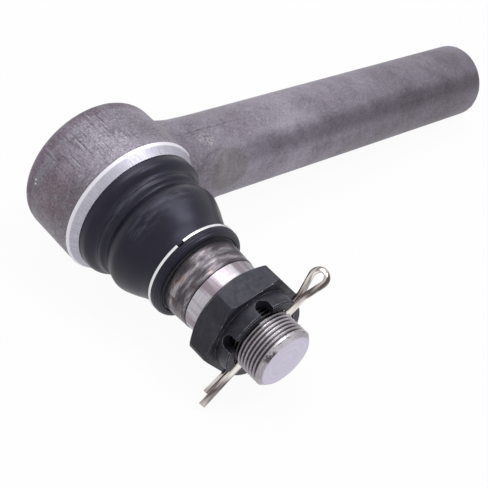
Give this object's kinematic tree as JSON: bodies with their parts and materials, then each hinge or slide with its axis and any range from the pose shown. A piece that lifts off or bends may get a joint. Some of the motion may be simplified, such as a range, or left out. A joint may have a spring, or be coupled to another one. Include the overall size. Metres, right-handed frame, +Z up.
{
  "type": "tie rod end",
  "caption": "Heavy-duty tie rod end: a forged rod and eye with a swivelling tapered ball stud in a rubber boot, and a slotted nut locked by a split pin.",
  "frame": {"origin": "centre of the bounding box, on the surface that the tie rod end lies on", "axes": "+X along the rod to its cut end as seen from above, -Y along the ball stud to its threaded end, +Z up"},
  "size_m": [0.2468, 0.1264, 0.0601],
  "materials": {
    "forged_scale": "forged and shot-blasted, bare grey scale",
    "stud_steel": "turned and ground",
    "nut_phosphate": "black phosphate, satin",
    "pin_zinc": "drawn wire, yellowish zinc",
    "boot_rubber": "moulded, satin",
    "clamp_ring_zinc": "bright zinc",
    "inner_steel": "turned, oiled",
    "bearing_plastic": "moulded",
    "liner_plastic": "moulded, greased"
  },
  "bodies": {
    "root": {"rod_end_forging": "forged_scale", "front_seat": "bearing_plastic", "back_seat": "bearing_plastic", "preload_spring": "inner_steel", "closing_ring": "inner_steel", "closing_ring_seal": "boot_rubber", "boot_foot_ring": "inner_steel", "boot": "boot_rubber"},
    "liner": {"front_liner": "liner_plastic", "back_liner": "liner_plastic"},
    "neck": {"boot_clamp_ring": "clamp_ring_zinc", "boot_neck_bush": "bearing_plastic"},
    "stud": {"ball_stud": "stud_steel", "castle_nut": "nut_phosphate", "split_pin": "pin_zinc"}
  },
  "joints": [
    {"name": "swing_about_rod", "type": "hinge", "parent": "root", "child": "liner", "pos_m": [-0.09423, 0.0382, 0.03025], "axis": [0.9982, 0, -0.0594], "range_deg": [-16, 16], "deforming": ["boot"]},
    {"name": "swing_along_rod", "type": "hinge", "parent": "liner", "child": "neck", "pos_m": [-0.09423, 0.0382, 0.03025], "axis": [0.0592, -0.0926, 0.9939], "range_deg": [-16, 16], "deforming": ["boot"]},
    {"name": "stud_turn", "type": "hinge", "parent": "neck", "child": "stud", "pos_m": [-0.09423, 0.0382, 0.03025], "axis": [-0.0055, -0.9957, -0.0925], "continuous": true}
  ]
}
